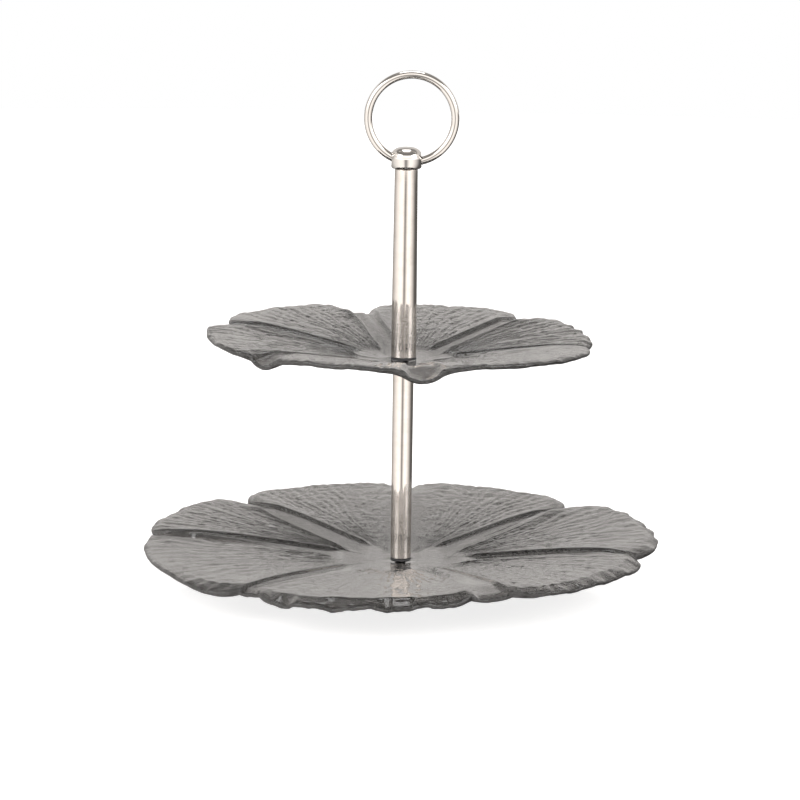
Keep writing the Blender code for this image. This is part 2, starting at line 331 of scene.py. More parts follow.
@dataclass(frozen=True)
class PolishedNickel(Finish):
    """Warm polished nickel with faint polishing lines and handling marks."""

    colour: tuple = (0.69, 0.645, 0.605)
    shade: tuple = (0.57, 0.53, 0.49)
    roughness: float = 0.05
    line_scale: tuple = (40.0, 40.0, 900.0)

    def dress(self, graph: Graph, shader: bpy.types.Node, output: bpy.types.Node, place: Socket) -> None:
        """Fill in warm metal whose roughness follows its polishing lines.

        Args:
            graph: the material's graph.
            shader: its Principled node.
            output: its output node.
            place: object coordinates.
        """
        shader.inputs["Metallic"].default_value = 1.0
        stretched = graph.add("ShaderNodeMapping", {"Vector": place, "Scale": self.line_scale}).outputs[0]
        lines = graph.noise(stretched, 1.0, 3.0, 0.6)
        marks = graph.noise(place, 140.0, 4.0, 0.65)
        graph.put(
            shader.inputs["Base Color"],
            graph.blend(graph.spread(marks, 0.42, 0.72, 0, 0.6), rgba(self.colour), rgba(self.shade)),
        )
        worn = graph.total(graph.times(lines, 0.5), graph.times(marks, 0.5))
        low, high = 0.65 * self.roughness, 1.5 * self.roughness
        graph.put(shader.inputs["Roughness"], graph.spread(worn, 0.35, 0.68, low, high))
        self.bump(graph, shader, lines, 0.01 * MM, 0.2)


@dataclass(frozen=True)
class TurnedSteel(Finish):
    """Steel or zinc plate with round turning marks about the post's axis."""

    colour: tuple = (0.58, 0.59, 0.6)
    shade: tuple = (0.42, 0.43, 0.45)
    roughness: float = 0.32
    pitch: float = 0.25 * MM

    def dress(self, graph: Graph, shader: bpy.types.Node, output: bpy.types.Node, place: Socket) -> None:
        """Fill in metal with rings of turning marks and a mottled tone.

        Args:
            graph: the material's graph.
            shader: its Principled node.
            output: its output node.
            place: object coordinates.
        """
        shader.inputs["Metallic"].default_value = 1.0
        inputs = {"Vector": place, "Scale": 0.05 / self.pitch, "Distortion": 1.5, "Detail": 2.0}
        rings = graph.add("ShaderNodeTexWave", inputs, wave_type="RINGS", rings_direction="Z").outputs[1]
        mottle = graph.noise(place, 260.0, 4.0, 0.6)
        graph.put(shader.inputs["Base Color"], graph.blend(mottle, rgba(self.colour), rgba(self.shade)))
        graph.put(
            shader.inputs["Roughness"],
            graph.spread(rings, 0, 1, 0.8 * self.roughness, 1.3 * self.roughness),
        )
        self.bump(graph, shader, rings, 0.03 * MM, 0.4)


@dataclass(frozen=True)
class BlackRubber(Finish):
    """Matt black rubber with a moulded grain."""

    colour: tuple = (0.03, 0.03, 0.032)
    bloom: tuple = (0.07, 0.07, 0.072)

    def dress(self, graph: Graph, shader: bpy.types.Node, output: bpy.types.Node, place: Socket) -> None:
        """Fill in dark rubber with a pale bloom in its grain.

        Args:
            graph: the material's graph.
            shader: its Principled node.
            output: its output node.
            place: object coordinates.
        """
        grain = graph.noise(place, 1400.0, 3.0, 0.6)
        cloud = graph.noise(place, 180.0, 2.0)
        graph.put(shader.inputs["Base Color"], graph.blend(cloud, rgba(self.colour), rgba(self.bloom)))
        graph.put(shader.inputs["Roughness"], graph.spread(cloud, 0.3, 0.7, 0.6, 0.8))
        self.bump(graph, shader, grain, 0.05 * MM, 0.6)


GLASS = SmokeGlass("smoke_glass_pressed", Slot.GLASS)
POST_NICKEL = PolishedNickel("nickel_post", Slot.POST)
# Painted shade: the handle's nickel is darker than the post's, standing in for the darker reflections on the
# ring and knob.
SHADED_HANDLE_NICKEL = PolishedNickel(
    "nickel_handle", Slot.HANDLE, colour=(0.6, 0.58, 0.555), line_scale=(160.0, 160.0, 160.0)
)
INSERT_STEEL = TurnedSteel("turned_steel", Slot.INSERT)
ZINC = TurnedSteel("zinc_plated_steel", Slot.ZINC, colour=(0.66, 0.66, 0.64), shade=(0.5, 0.5, 0.5))
RUBBER = BlackRubber("black_rubber", Slot.RUBBER)


class Modifier:
    """A geometry tree with named inputs, and the means to turn its result into a plain mesh."""

    def __init__(self, name: str, sizes: dict[str, float]) -> None:
        """Make the tree with a socket for each size and one for a material.

        Args:
            name: the tree's name.
            sizes: each named input with its value.
        """
        self.tree = bpy.data.node_groups.new(name, "GeometryNodeTree")
        self.graph = Graph(self.tree)
        self.values = dict(sizes)
        face = self.tree.interface
        face.new_socket("Geometry", in_out="INPUT", socket_type="NodeSocketGeometry")
        for label in sizes:
            face.new_socket(label, in_out="INPUT", socket_type="NodeSocketFloat")
        face.new_socket("Material", in_out="INPUT", socket_type="NodeSocketMaterial")
        face.new_socket("Geometry", in_out="OUTPUT", socket_type="NodeSocketGeometry")
        self.entry = self.graph.add("NodeGroupInput", {})

    def size(self, label: str) -> Socket:
        """Return a named input's socket."""
        return self.entry.outputs[label]

    def field(self, label: str) -> Socket:
        """Return a number that is stored on each vertex.

        Args:
            label: the attribute's name.

        Returns:
            Its socket.
        """
        return self.graph.add("GeometryNodeInputNamedAttribute", {"Name": label}).outputs["Attribute"]

    def finish_tree(self, geometry: Socket) -> None:
        """End the tree in smooth shading, Realize Instances and Set Material.

        Args:
            geometry: the geometry to end with.
        """
        shade = self.graph.add("GeometryNodeSetShadeSmooth", {"Geometry": geometry, "Shade Smooth": True})
        real = self.graph.add("GeometryNodeRealizeInstances", {"Geometry": shade.outputs[0]})
        inputs = {"Geometry": real.outputs[0], "Material": self.size("Material")}
        dressed = self.graph.add("GeometryNodeSetMaterial", inputs)
        self.graph.add("NodeGroupOutput", {"Geometry": dressed.outputs[0]})

    def bake(self, name: str, mesh: bpy.types.Mesh, finish: Finish) -> bpy.types.Mesh:
        """Run the tree on a mesh.

        Args:
            name: name of the resulting mesh.
            mesh: the mesh to start from.
            finish: the finish to set.

        Returns:
            The result as a plain mesh.
        """
        holder = bpy.data.objects.new(name + "_source", mesh)
        bpy.context.scene.collection.objects.link(holder)
        modifier = holder.modifiers.new(self.tree.name, "NODES")
        modifier.node_group = self.tree
        for item in self.tree.interface.items_tree:
            if item.in_out == "INPUT" and item.name in self.values:
                modifier[item.identifier] = float(self.values[item.name])
            elif item.in_out == "INPUT" and item.name == "Material":
                modifier[item.identifier] = finish.material()
        evaluated = holder.evaluated_get(bpy.context.evaluated_depsgraph_get())
        result = bpy.data.meshes.new_from_object(evaluated)
        result.name = name
        holder.modifiers.remove(modifier)
        bpy.data.objects.remove(holder)
        return result


def place_piece(name: str, mesh: bpy.types.Mesh, finish: Finish, body: str, *nodes: str) -> bpy.types.Object:
    """Show a finished mesh as a piece of the stand.

    Args:
        name: the piece's name.
        mesh: its mesh, with its place in its vertices.
        finish: its finish.
        body: the body that it rides on.
        nodes: the CAD nodes that it stands for.

    Returns:
        The piece's object.
    """
    if not mesh.materials:
        mesh.materials.append(finish.material())
    piece = bpy.data.objects.new(name, mesh)
    bpy.context.scene.collection.objects.link(piece)
    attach(piece, body)
    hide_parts(*nodes)
    mesh.calc_loop_triangles()
    log.info("%s: %d triangles, rides on %s", name, len(mesh.loop_triangles), body)
    return piece


def smooth(low: float, high: float, value: Any) -> Any:
    """Ease from 0 at low to 1 at high.

    Args:
        low: where the ease starts.
        high: where it ends.
        value: a number or an array.

    Returns:
        The eased share.
    """
    share = np.clip((value - low) / (high - low), 0, 1)
    return share * share * (3 - 2 * share)


def mix(first: Any, second: Any, share: Any) -> Any:
    """Blend two numbers or arrays."""
    return first + (second - first) * share


PETAL_EDGE = 1.15  # where a petal's first column lies, in half widths from the valley's middle
STEP_FOOT, STEP_TOP = 0.78, 1.06  # where the step up to the petal starts and ends, likewise


@dataclass(frozen=True)
class Petal:
    """One petal, in millimetres and degrees. The valley that it shares lies at its start."""

    start: float  # plan angle of the valley, from +X towards +Y
    reach: float  # from the axis to the middle of the petal's rim
    crest: float  # rise of the rim's middle above the plate's centre face
    tilt: float  # how much higher the rim is at the petal's end than at its start
    lip: float  # how far the margin turns down
    notch: float  # from the axis to the valley's mouth
    gutter: float  # rise of the valley's mouth above the plate's centre face
    waves: float = 3.5  # waves along the petal's rim
    shift: float = 0.0  # where those waves start, in turns
    swing: float = 0.3  # height of those waves
    hem: float = 0.0  # drop of the crease that the turned-down margin starts with
    plain: float = 0.0  # how smooth that margin is, 0 for veined to 1
    curl: float = 0.0  # how much of the lip moves from the petal's start to its end
    square: float = 6.0  # how square the petal's corners are
    mouth: float = 3.5  # half width of the valley's mouth
    sharp: float = 1.0  # share of the plate's step height that the valley's edges have


@dataclass
class Columns:
    """Numbers of every radial column round a plate, one array entry for each column."""

    start: np.ndarray  # plan angle of the petal's start
    width: np.ndarray  # angle that the petal takes
    side: np.ndarray  # -1 in the valley at the start, 1 in the one at the end, 0 across the petal
    offset: np.ndarray  # distance into a valley, in half widths
    share: np.ndarray  # place across the petal, 0 to 1
    petal: np.ndarray  # the petal's number
    own: dict[str, np.ndarray] = field(default_factory=dict)
    next: dict[str, np.ndarray] = field(default_factory=dict)


@dataclass
class FlowerPlate:
    """A pressed-glass plate: level centre, raised veined petals and smooth valleys."""

    name: str
    node: str
    petals: tuple
    level: float  # radius of the level centre
    valley: float  # half width of a valley
    step: float  # height of a petal's edge above the valley
    has_foot: bool
    vein_count: float
    across: int  # columns across one petal
    rows: int = 130  # rows from the level centre to the rim
    hole_radius: float = 5 * MM
    centre_glass: float = 4.5 * MM
    rim_glass: float = 2.3 * MM
    foot_height: float = 7.5 * MM
    foot_inner: float = 45.5 * MM
    foot_outer: float = 50 * MM
    foot_draft: float = 1.2 * MM
    rim_round: float = 1.3 * MM
    flank_share: float = 0.93  # share of a petal's rise that its valley takes
    flank_from: float = 0.78  # share of the way out where that share starts to fall
    rim_share: float = 0.55  # what is left of it at the rim, beside the petal
    valley_share: float = 0.35  # and what the valley's middle has of that
    mouth_from: float = 0.55  # share of the way out where a valley narrows to its mouth
    crown_power: float = 1.4  # how late a petal rises
    lip_from: float = 0.945  # share of the way out where the margin turns down
    lip_to: float = 1.055  # where it would be all the way down, past the rim
    hem_to: float = 0.96  # where the crease at its start ends
    rise_from: float = 14 * MM  # radius where the centre starts to rise
    vein_height: float = 0.56 * MM
    ripple_height: float = 0.26 * MM
    hammer_height: float = 0.38 * MM
    seed: float = 3.0
    face: float = 0.0

    def build(self) -> bpy.types.Object:
        """Build the plate where its CAD node stands.

        Returns:
            The finished piece.
        """
        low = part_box(self.node)[0].z
        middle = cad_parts[self.node].data.vertices
        inner = [v.co.z for v in middle if math.hypot(v.co.x, v.co.y) < self.hole_radius + GAP]
        self.face = max(inner) if inner else low + self.foot_height + self.centre_glass
        relief = self.relief_tree()
        mesh = relief.bake(self.name, self.body_mesh(), GLASS)
        return place_piece(self.name, mesh, GLASS, STAND, self.node)

    def columns(self) -> Columns:
        """Lay out the radial columns, close together at the petals' edges.

        Returns:
            The columns' numbers.
        """
        into = np.array([0, 0.25, 0.5, 0.66, 0.76, 0.84, 0.91, 0.98, 1.05])
        middle = np.linspace(0.025, 0.975, self.across)
        across = np.concatenate([[0, 0.006, 0.014], middle, [0.986, 0.994, 1]])
        count = len(self.petals)
        side = np.concatenate([-np.ones(len(into)), np.zeros(len(across)), np.ones(len(into) - 1)])
        offset = np.concatenate([into, np.full(len(across), PETAL_EDGE), into[:0:-1]])
        share = np.concatenate([np.zeros(len(into)), across, np.ones(len(into) - 1)])
        petal = np.repeat(np.arange(count), len(side))
        starts = np.array([p.start for p in self.petals])
        widths = np.mod(np.roll(starts, -1) - starts, 360)
        columns = Columns(
            start=np.radians(starts)[petal],
            width=np.radians(widths)[petal],
            side=np.tile(side, count),
            offset=np.tile(offset, count),
            share=np.tile(share, count),
            petal=petal,
        )
        for name in (item.name for item in fields(Petal)):
            values = np.array([getattr(p, name) for p in self.petals])
            columns.own[name] = values[petal]
            columns.next[name] = np.roll(values, -1)[petal]
        return columns

    def bow(self, columns: Columns) -> np.ndarray:
        """1 in the middle of a petal, 0 at its edges and in the valleys."""
        return 1 - np.abs(2 * columns.share - 1) ** columns.own["square"]

    def flank(self, columns: Columns, along: Any) -> np.ndarray:
        """Share of a petal's rise that each column takes, less in the valleys near the rim.

        Args:
            columns: the plate's columns.
            along: share of the way from the level centre to the rim.

        Returns:
            The shares, 0 to 1.
        """
        near_rim = smooth(self.flank_from, 1, along)
        edge = mix(self.flank_share, self.rim_share, near_rim)
        deep = mix(self.valley_share, 1, (columns.offset / PETAL_EDGE) ** 2)
        valley = edge * mix(1, deep, near_rim)
        return np.where(columns.side == 0, mix(edge, 1, self.bow(columns)), valley)

    def rim_radius(self, columns: Columns) -> np.ndarray:
        """Distance from the axis to the rim, for each column.

        Args:
            columns: the plate's columns.

        Returns:
            The distances, in metres.
        """
        notch = mix(columns.own["notch"], columns.next["notch"], columns.share)
        reach = columns.own["reach"] + 0.9 * columns.own["swing"] * self.swing(columns)
        return mix(notch, reach, self.bow(columns)) * MM

    @staticmethod
    def swing(columns: Columns) -> np.ndarray:
        """Uneven waves along the petals' margins.

        Args:
            columns: the plate's columns.

        Returns:
            The waves, up to 1.65 either way.
        """
        turns = columns.own["waves"] * columns.share + columns.own["shift"]
        slow = np.cos(math.tau * turns) + 0.45 * np.cos(math.tau * (2.3 * turns + 0.21 * columns.petal))
        return slow + 0.2 * np.cos(math.tau * (5.3 * turns + 0.4 * columns.petal))

    def angle(self, columns: Columns, radius: np.ndarray, along: Any) -> np.ndarray:
        """Plan angle of each column at a radius.

        Args:
            columns: the plate's columns.
            radius: distance from the axis, for each column.
            along: share of the way from the level centre to the rim.

        Returns:
            The angles, in radians.
        """
        mouth = mix(columns.own["mouth"], columns.next["mouth"], columns.share) * MM
        near_rim, around = smooth(self.mouth_from, 1, along), 1 / np.maximum(radius, self.level)
        into = mix(self.valley, mouth, near_rim) * around * columns.offset
        first, last = (
            PETAL_EDGE * mix(self.valley, side["mouth"] * MM, near_rim) * around
            for side in (columns.own, columns.next)
        )
        middle = mix(first, columns.width - last, columns.share)
        turn = np.where(columns.side < 0, into, np.where(columns.side > 0, columns.width - into, middle))
        return columns.start + turn

    def swell(self, columns: Columns, radius: np.ndarray, along: Any) -> np.ndarray:
        """Height of the plate without its petals' edges, above the centre face.

        Args:
            columns: the plate's columns.
            radius: distance from the axis, for each column.
            along: share of the way from the level centre to the rim.

        Returns:
            The heights, in metres.
        """
        bow, own = self.bow(columns), columns.own
        gutter = mix(own["gutter"], columns.next["gutter"], columns.share)
        rim = own["crest"] + own["tilt"] * (columns.share - 0.5)
        crown = (rim - gutter) * along**self.crown_power * self.flank(columns, along)
        out = np.clip((radius - self.rise_from) / (self.rim_radius(columns) - self.rise_from), 0, 1)
        out = 1.05 * out**2 / (out + 0.05)
        grow = mix(1, 2 * smooth(0.6, 1, columns.share), own["curl"])
        turned_down = own["lip"] * grow * smooth(self.lip_from, self.lip_to, along) * (0.4 + 0.6 * bow)
        crease = own["hem"] * grow * smooth(self.lip_from, self.hem_to, along) * bow
        return (gutter * (1 - (1 - out) ** 1.8) + crown - turned_down - crease) * MM

    def wave(self, columns: Columns, along: Any) -> np.ndarray:
        """Rise and fall of the petals' margins.

        Args:
            columns: the plate's columns.
            along: share of the way from the level centre to the rim.

        Returns:
            The heights, in metres.
        """
        height = columns.own["swing"] * MM * self.swing(columns)
        return height * smooth(0.94, 1.0, along) * self.bow(columns)

    def top(self, columns: Columns, radius: np.ndarray, along: Any) -> np.ndarray:
        """Height of the upper surface, for each column at a radius.

        Args:
            columns: the plate's columns.
            radius: distance from the axis, for each column.
            along: share of the way from the level centre to the rim.

        Returns:
            The heights, in metres.
        """
        edge = np.where(columns.side == 0, 1, smooth(STEP_FOOT, STEP_TOP, columns.offset))
        fade = 1 - 0.85 * along**self.crown_power * self.bow(columns)
        sharp = mix(columns.own["sharp"], columns.next["sharp"], columns.share)
        middle = np.where(columns.side == 0, 1 - (2 * columns.share - 1) ** 2, 0)
        onset = mix(smooth(0.02, 0.13, along), smooth(0, 0.45, along), middle)
        edge = edge * self.step * sharp * onset * fade
        return self.face + self.swell(columns, radius, along) + edge + self.wave(columns, along)

    def under(self, columns: Columns, radius: np.ndarray, along: Any) -> np.ndarray:
        """Height of the lower surface, for each column at a radius.

        Args:
            columns: the plate's columns.
            radius: distance from the axis, for each column.
            along: share of the way from the level centre to the rim.

        Returns:
            The heights, in metres.
        """
        glass = mix(self.centre_glass, self.rim_glass, smooth(0, 0.8, along))
        return self.face + self.swell(columns, radius, along) - glass + self.wave(columns, along)

    def sections(self, columns: Columns) -> list[tuple[np.ndarray, np.ndarray, Any, float]]:
        """Rows of the closed section, over the top, round the rim and back underneath.

        Args:
            columns: the plate's columns.

        Returns:
            A list of (radius, height, share of the way out, whether the relief applies).
        """
        count = len(columns.share)
        rim = self.rim_radius(columns)
        inner_rim = rim - self.rim_round

        def level_row(radius: float, height: float) -> tuple:
            return np.full(count, radius), np.full(count, height), 0.0, 0.0

        def row(level: Any, radius: np.ndarray, along: float, on_top: float) -> None:
            rows.append((radius, level(columns, radius, along), along, on_top))

        lead = 0.5 * MM
        rows = [level_row(self.hole_radius, self.face - lead), level_row(self.hole_radius + lead, self.face)]
        for share in (0.35, 0.5, 0.62, 0.74, 0.83, 0.92):
            row(self.top, np.full(count, share * self.level), 0.0, 0.0)
        for along in np.linspace(0, 1, self.rows):
            row(self.top, mix(self.level, inner_rim, along), along, 1.0)
        high, low = self.top(columns, inner_rim, 1.0), self.under(columns, inner_rim, 1.0)
        for turn in np.linspace(0, math.pi, 9)[1:-1]:
            bulge = inner_rim + self.rim_round * math.sin(turn)
            rows.append((bulge, mix(low, high, (1 + math.cos(turn)) / 2), 1.0, (1 + math.cos(turn)) / 2))
        for along in (1.0, 0.96, 0.9, 0.82, 0.72, 0.6, 0.48, 0.36):
            row(self.under, mix(self.level, inner_rim, along), along, 0.0)
        if self.has_foot:
            rows += self.foot(columns, rim)
        bottom = self.face - self.centre_glass
        for share in (1.0, 0.7):
            row(self.under, np.full(count, share * self.level), 0.0, 0.0)
        rows += [level_row(self.hole_radius + lead, bottom), level_row(self.hole_radius, bottom + lead)]
        return rows

    def foot(self, columns: Columns, rim: np.ndarray) -> list[tuple]:
        """The foot ring's rows, from its outer root round its ground base to its inner root.

        Args:
            columns: the plate's columns.
            rim: rim radius of each column.

        Returns:
            Rows as sections gives them.
        """
        base, soft = self.face - self.centre_glass - self.foot_height, 0.8 * MM
        profile = (
            (self.foot_outer + self.foot_draft + soft, None),
            (self.foot_outer + 0.6 * self.foot_draft, base + 0.7 * self.foot_height),
            (self.foot_outer, base + soft),
            (self.foot_outer - soft, base),
            (self.foot_inner + soft, base),
            (self.foot_inner, base + soft),
            (self.foot_inner - 0.6 * self.foot_draft, base + 0.7 * self.foot_height),
            (self.foot_inner - self.foot_draft - soft, None),
        )
        rows = []
        for radius, height in profile:
            reach = np.full(len(rim), radius)
            along = (reach - self.level) / (rim - self.level)
            heights = self.under(columns, reach, along) if height is None else np.full(len(rim), height)
            rows.append((reach, heights, along, 0.0))
        return rows

    def body_mesh(self) -> bpy.types.Mesh:
        """Make the plate's plain body, with the fields that the relief reads.

        Returns:
            A closed mesh.
        """
        columns = self.columns()
        rows = self.sections(columns)
        count, depth = len(columns.share), len(rows)
        points = np.zeros((depth, count, 3))
        relief, along_field = np.zeros((depth, count)), np.zeros((depth, count))
        petal_only = np.where(columns.side == 0, smooth(0, 0.02, columns.share), 0)
        petal_only *= np.where(columns.side == 0, smooth(0, 0.02, 1 - columns.share), 0)
        for index, (radius, height, along, on_top) in enumerate(rows):
            angle = self.angle(columns, radius, along)
            points[index] = np.stack([radius * np.cos(angle), radius * np.sin(angle), height], axis=-1)
            smoothed = columns.own["plain"] * smooth(0.92, 0.96, along)
            relief[index] = petal_only * smooth(0, 0.15, along) * on_top * (1 - smoothed)
            along_field[index] = along
        lower, upper = np.arange(depth), np.roll(np.arange(depth), -1)
        left, right = np.arange(count), np.roll(np.arange(count), -1)
        corners = [(lower, left), (upper, left), (upper, right), (lower, right)]
        faces = np.stack([(row[:, None] * count + column[None, :]) for row, column in corners], axis=-1)
        mesh = bpy.data.meshes.new(self.name)
        mesh.from_pydata(points.reshape(-1, 3), [], faces.reshape(-1, 4))
        stored = {
            "relief": relief,
            "along": along_field,
            "share": np.broadcast_to(columns.share, (depth, count)),
            "petal": np.broadcast_to(columns.petal.astype(float), (depth, count)),
        }
        for name, values in stored.items():
            layer = mesh.attributes.new(name, "FLOAT", "POINT")
            layer.data.foreach_set("value", np.ascontiguousarray(values, np.float32).ravel())
        return mesh

    def relief_tree(self) -> Modifier:
        """Make the tree that presses veins and ripples into the petals.

        Returns:
            The tree, with its sizes filled in.
        """
        sizes = {
            "Vein height": self.vein_height,
            "Vein count": self.vein_count,
            "Ripple height": self.ripple_height,
            "Hammer height": self.hammer_height,
            "Seed": self.seed,
        }
        tree = Modifier(self.name + "_relief", sizes)
        graph = tree.graph
        share, along, petal = tree.field("share"), tree.field("along"), tree.field("petal")
        own = graph.total(graph.times(petal, 7.3), tree.size("Seed"))
        bend = graph.noise(graph.vector(graph.times(share, 5.0), graph.times(along, 2.6), own), 1.0, 2.0)
        wander = graph.times(graph.math("SUBTRACT", bend, 0.5), 3.2)
        phase = graph.total(graph.times(share, tree.size("Vein count")), wander)
        crease = graph.math("ABSOLUTE", graph.math("SINE", graph.times(phase, math.pi)))
        vein = graph.math("POWER", crease, 0.6)
        fine_place = graph.vector(graph.times(phase, 2.1), graph.times(along, 5.0), own)
        fine = graph.noise(fine_place, 1.0, 2.0, 0.6)
        ripple_place = graph.vector(graph.times(phase, 0.8), graph.times(along, 22.0), own)
        ripple = graph.noise(ripple_place, 1.0, 2.5, 0.55)
        hammer = graph.noise(graph.add("GeometryNodeInputPosition", {}).outputs[0], 235.0, 3.0, 0.6)
        high = graph.total(
            graph.times(graph.math("SUBTRACT", vein, 0.7), tree.size("Vein height")),
            graph.times(graph.math("SUBTRACT", fine, 0.5), tree.size("Vein height"), 1.0),
            graph.times(graph.math("SUBTRACT", ripple, 0.5), tree.size("Ripple height"), 2.4),
            graph.times(graph.math("SUBTRACT", hammer, 0.5), tree.size("Hammer height"), 2.4),
        )
        rise = graph.times(high, tree.field("relief"))
        inputs = {"Geometry": tree.size("Geometry"), "Offset": graph.vector(0.0, 0.0, rise)}
        moved = graph.add("GeometryNodeSetPosition", inputs)
        tree.finish_tree(moved.outputs[0])
        return tree


LOWER_PLATE = FlowerPlate(
    name="lower_flower_plate",
    node="lower_plate",
    petals=(
        Petal(41, 139.5, 16.3, 2, 4.0, 127, 4.0, waves=3.5, shift=0.2, swing=0.3, square=8),
        Petal(89, 139.5, 16.0, -1.5, 4.0, 129, 11.0, waves=3.0, shift=0.6, swing=0.35, square=8, sharp=0.25),
        Petal(135.5, 143.5, 13.4, -4, 3.5, 128, 5.0, waves=2.5, shift=0.1, swing=0.3, square=10),
        Petal(173, 141.0, 7.4, -1.0, 3.6, 140, 6.5, waves=3.0, shift=0.5, swing=0.4, hem=0.5, curl=1.0),
        Petal(
            233, 140.5, 10.2, 5, 5.2, 131, 6.0, waves=4.0, shift=0.9, swing=1.1, hem=0.7, plain=1.0, mouth=6
        ),
        Petal(
            291.5, 140.0, 13.5, 2, 5.2, 131, 8.5, waves=4.0, shift=0.3, swing=0.5, hem=0.6, curl=0.3, mouth=10
        ),
        Petal(345, 141.5, 16.5, 4, 5.0, 132, 8.5, waves=6.5, shift=0.4, swing=0.5),
    ),
    level=30 * MM,
    valley=8.8 * MM,
    step=1.7 * MM,
    has_foot=True,
    vein_count=15,
    across=62,
)
UPPER_PLATE = FlowerPlate(
    name="upper_flower_plate",
    node="upper_plate",
    petals=(
        Petal(45, 104.5, 16.0, 0, 2.5, 97, 8.0, waves=3.0, shift=0.1, swing=0.3, mouth=6),
        Petal(107, 104.0, 17.5, 0, 2.5, 95, 9.0, waves=3.0, shift=0.7, swing=0.3, square=8, mouth=9),
        Petal(168, 107.5, 14.8, -3, 0.6, 99, 11.0, waves=3.5, shift=0.4, swing=0.35),
        Petal(221, 103.5, 13.8, 0, 2.0, 99, 5.0, waves=3.0, shift=0.0, swing=0.3, square=5, mouth=9),
        Petal(276, 103.5, 12.7, -4, 2.0, 101, 4.5, waves=3.5, shift=0.4, swing=0.25, square=9, mouth=9),
        Petal(357, 104.5, 13.0, 7, 2.5, 99, 7.0, waves=6.0, shift=0.2, swing=0.4),
    ),
    level=22 * MM,
    valley=6 * MM,
    step=1.7 * MM,
    has_foot=False,
    vein_count=12,
    rise_from=11 * MM,
    rim_glass=2.4 * MM,
    across=76,
    seed=11.0,
)


def turned_mesh(name: str, outline: Outline, sides: int = 96) -> bpy.types.Mesh:
    """Turn a closed outline about the Z axis.

    Args:
        name: the mesh's name.
        outline: (radius, height) corners in order. A run on the axis closes the shape there.
        sides: steps of the full turn.

    Returns:
        A closed mesh, shaded smooth but for its sharp corners.
    """
    shape = bmesh.new()
    corners = [shape.verts.new((radius, 0, height)) for radius, height in outline]
    edges = [
        shape.edges.new((a, b)) for a, b in zip(corners, corners[1:] + corners[:1]) if a.co.x or b.co.x
    ]
    bmesh.ops.spin(
        shape,
        geom=corners + edges,
        cent=(0, 0, 0),
        axis=(0, 0, 1),
        angle=math.tau,
        steps=sides,
        use_duplicate=False,
    )
    bmesh.ops.remove_doubles(shape, verts=shape.verts, dist=0.001 * MM)
    bmesh.ops.recalc_face_normals(shape, faces=shape.faces)
    mesh = bpy.data.meshes.new(name)
    shape.to_mesh(mesh)
    shape.free()
    mesh.shade_smooth()
    mesh.set_sharp_from_angle(angle=math.radians(38))
    return mesh


def rounded(outline: Outline, radius: float, steps: int = 4) -> list[tuple[float, float]]:
    """Round every corner of a closed outline that doesn't lie on the axis.

    Args:
        outline: (radius, height) corners in order.
        radius: radius of the rounding, in metres.
        steps: pieces that each rounding is made of.

    Returns:
        The outline with its corners rounded.
    """
    result: list[tuple[float, float]] = []
    count = len(outline)
    for index, corner in enumerate(outline):
        if corner[0] == 0:
            result.append(corner)
            continue
        here = Vector(corner)
        before, after = Vector(outline[index - 1]), Vector(outline[(index + 1) % count])
        reach = min(radius, 0.45 * (before - here).length, 0.45 * (after - here).length)
        first = here + (before - here).normalized() * reach
        last = here + (after - here).normalized() * reach
        for step in range(steps + 1):
            share = step / steps
            point = first * (1 - share) ** 2 + here * 2 * share * (1 - share) + last * share**2
            result.append((point.x, point.y))
    return result


def cut_mesh(name: str, mesh: bpy.types.Mesh, cutter: bpy.types.Mesh) -> bpy.types.Mesh:
    """Cut one mesh out of another.

    Args:
        name: the result's name.
        mesh: the mesh that is cut.
        cutter: the mesh that is taken away.

    Returns:
        The cut mesh.
    """
    body = bpy.data.objects.new(name + "_uncut", mesh)
    tool = bpy.data.objects.new(name + "_cutter", cutter)
    for thing in (body, tool):
        bpy.context.scene.collection.objects.link(thing)
    modifier = body.modifiers.new("cut", "BOOLEAN")
    modifier.operation = "DIFFERENCE"
    modifier.solver = "EXACT"
    modifier.object = tool
    result = bpy.data.meshes.new_from_object(body.evaluated_get(bpy.context.evaluated_depsgraph_get()))
    result.name = name
    body.modifiers.remove(modifier)
    for thing in (body, tool):
        bpy.data.objects.remove(thing)
    result.shade_smooth()
    result.set_sharp_from_angle(angle=math.radians(32))
    return result


@dataclass
class Thread:
    """A screw thread: a ridge wound on a core, made by a geometry tree."""

    radius: float = 3 * MM
    depth: float = 0.45 * MM
    pitch: float = 1.0 * MM

    @property
    def core(self) -> float:
        """Radius of the plain core under the ridge."""
        return self.radius - self.depth

    def ridge(self, name: str, low: float, high: float, finish: Finish) -> bpy.types.Mesh:
        """Wind the ridge between two heights.

        Args:
            name: the mesh's name.
            low: where it starts.
            high: where it ends.
            finish: its finish.

        Returns:
            The ridge as a closed mesh.
        """
        sizes = {
            "Low": low,
            "Rise": high - low,
            "Turns": (high - low) / self.pitch,
            "Core radius": self.core,
            "Ridge": self.depth,
        }
        tree = Modifier(name + "_thread", sizes)
        graph = tree.graph
        spiral = graph.add(
            "GeometryNodeCurveSpiral",
            {
                "Resolution": 20,
                "Rotations": tree.size("Turns"),
                "Start Radius": tree.size("Core radius"),
                "End Radius": tree.size("Core radius"),
                "Height": tree.size("Rise"),
            },
        )
        section = graph.add(
            "GeometryNodeCurvePrimitiveCircle", {"Resolution": 6, "Radius": tree.size("Ridge")}
        )
        inputs = {"Curve": spiral.outputs[0], "Profile Curve": section.outputs[0], "Fill Caps": True}
        wound = graph.add("GeometryNodeCurveToMesh", inputs)
        lift = graph.vector(0.0, 0.0, tree.size("Low"))
        placed = graph.add("GeometryNodeSetPosition", {"Geometry": wound.outputs[0], "Offset": lift})
        tree.finish_tree(placed.outputs[0])
        return tree.bake(name, bpy.data.meshes.new(name + "_start"), finish)


